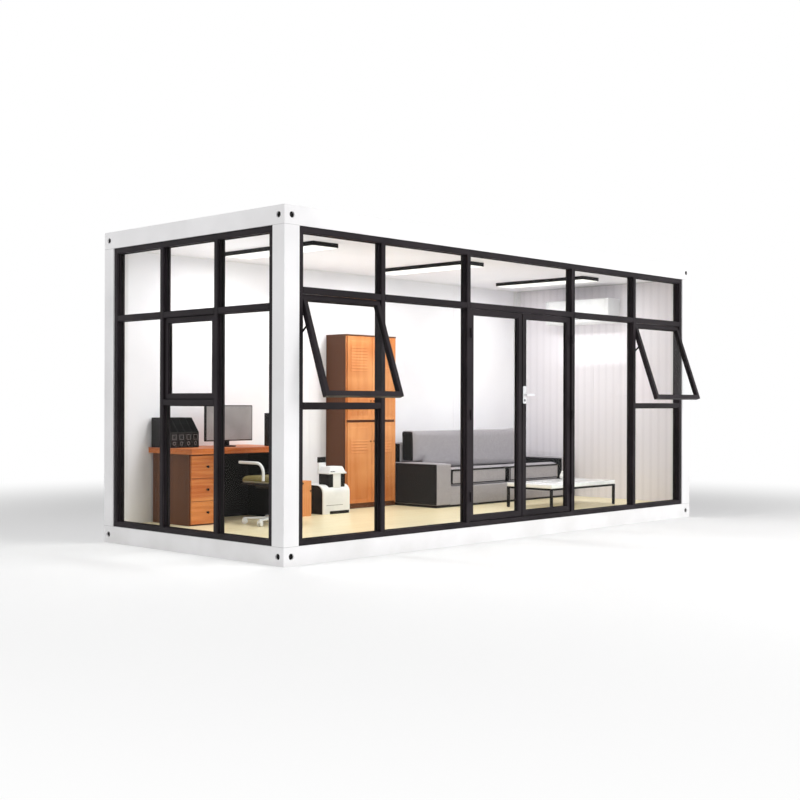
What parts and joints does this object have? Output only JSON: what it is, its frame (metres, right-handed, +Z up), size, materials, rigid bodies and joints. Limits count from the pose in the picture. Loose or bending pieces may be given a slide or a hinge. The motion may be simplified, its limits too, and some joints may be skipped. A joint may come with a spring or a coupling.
{
  "type": "prefabricated house",
  "caption": "Flat-roofed prefabricated house with a white steel frame, two glazed sides, solid rear walls, double doors, open windows and office furniture.",
  "frame": {"origin": "middle of the plan on the underside of the floor, at ground level", "axes": "+X along the long glazed front to the solid end, +Y from the glazed front to the back wall, +Z up"},
  "size_m": [6.055, 2.6881, 2.79],
  "materials": {
    "white_steel": "gloss white powder coat",
    "galvanised_steel": "dull zinc",
    "white_panel": "smooth white coated sheet",
    "fibre_cement": "plain grey board",
    "floor_wood": "pale yellow boards, satin",
    "dark_aluminium": "anthracite powder coat, satin",
    "glass": "clear float glass",
    "bright_steel": "brushed",
    "handle_metal": "satin silver",
    "black_metal": "satin black",
    "lamp_white": "opal, bright",
    "white_plastic": "satin white",
    "orange_wood": "varnished, warm orange grain",
    "brown_wood": "dark brown, satin",
    "black_plastic": "fine grained black",
    "screen_grey": "grey, matt",
    "grey_fabric": "woven grey upholstery",
    "olive_fabric": "woven olive upholstery",
    "black_fabric": "black mesh",
    "white_lacquer": "white lacquer, satin",
    "white_glaze": "white glaze"
  },
  "bodies": {
    "house": {"corner_posts": "white_steel", "corner_castings": "white_steel", "floor_beams": "white_steel", "roof_beams": "white_steel", "floor_pan": "galvanised_steel", "floor_joists": "galvanised_steel", "floor_board": "fibre_cement", "floor_covering": "floor_wood", "ceiling_panel": "white_panel", "roof_panel": "white_panel", "back_wall": "white_panel", "right_wall": "white_panel", "front_uprights": "dark_aluminium", "front_rails": "dark_aluminium", "front_glass": "glass", "end_uprights": "dark_aluminium", "end_rails": "dark_aluminium", "end_glass": "glass", "left_window_sash": "dark_aluminium", "right_window_sash": "dark_aluminium", "end_window_sash": "dark_aluminium", "window_glass": "glass", "window_stays": "bright_steel", "door_hinge_pins": "dark_aluminium", "lamp_housings": "black_metal", "lamp_diffusers": "lamp_white", "air_conditioner": "white_plastic", "cabinet_body": "brown_wood", "cabinet_doors": "orange_wood", "desk_top": "orange_wood", "desk_pedestal": "brown_wood", "desk_panels": "brown_wood", "desk_drawers": "orange_wood", "desk_screen": "screen_grey", "slim_computer": "black_plastic", "file_holders": "black_plastic", "chair_frame": "white_plastic", "chair_seat": "olive_fabric", "chair_back": "black_fabric", "chair_arms": "white_plastic", "low_cabinet": "orange_wood", "printer_body": "white_plastic", "printer_cheeks": "black_plastic", "printer_scanner": "white_plastic", "sofa_body": "grey_fabric", "sofa_back": "grey_fabric", "sofa_cushions": "grey_fabric", "coffee_table_top": "white_lacquer", "coffee_table_frame": "black_metal", "vase": "white_glaze"},
    "left_door": {"left_door_frame": "dark_aluminium", "left_door_glass": "glass", "left_door_hinges": "dark_aluminium"},
    "right_door": {"right_door_frame": "dark_aluminium", "right_door_glass": "glass", "right_door_hinges": "dark_aluminium", "door_handle_plates": "handle_metal"},
    "lever": {"door_lever": "handle_metal"}
  },
  "joints": [
    {"name": "left_door_swing", "type": "hinge", "parent": "house", "child": "left_door", "pos_m": [-0.779, -1.2135, 0.4], "axis": [0, 0, -1], "range_deg": [0, 90]},
    {"name": "right_door_swing", "type": "hinge", "parent": "house", "child": "right_door", "pos_m": [0.779, -1.2135, 0.4], "axis": [0, 0, 1], "range_deg": [0, 90]},
    {"name": "lever_turn", "type": "hinge", "parent": "right_door", "child": "lever", "pos_m": [0.032, -1.168, 1.342], "axis": [0, 1, 0], "range_deg": [0, 45], "stiffness_Nm_per_rad": 1.2, "springref_deg": -28.65}
  ]
}
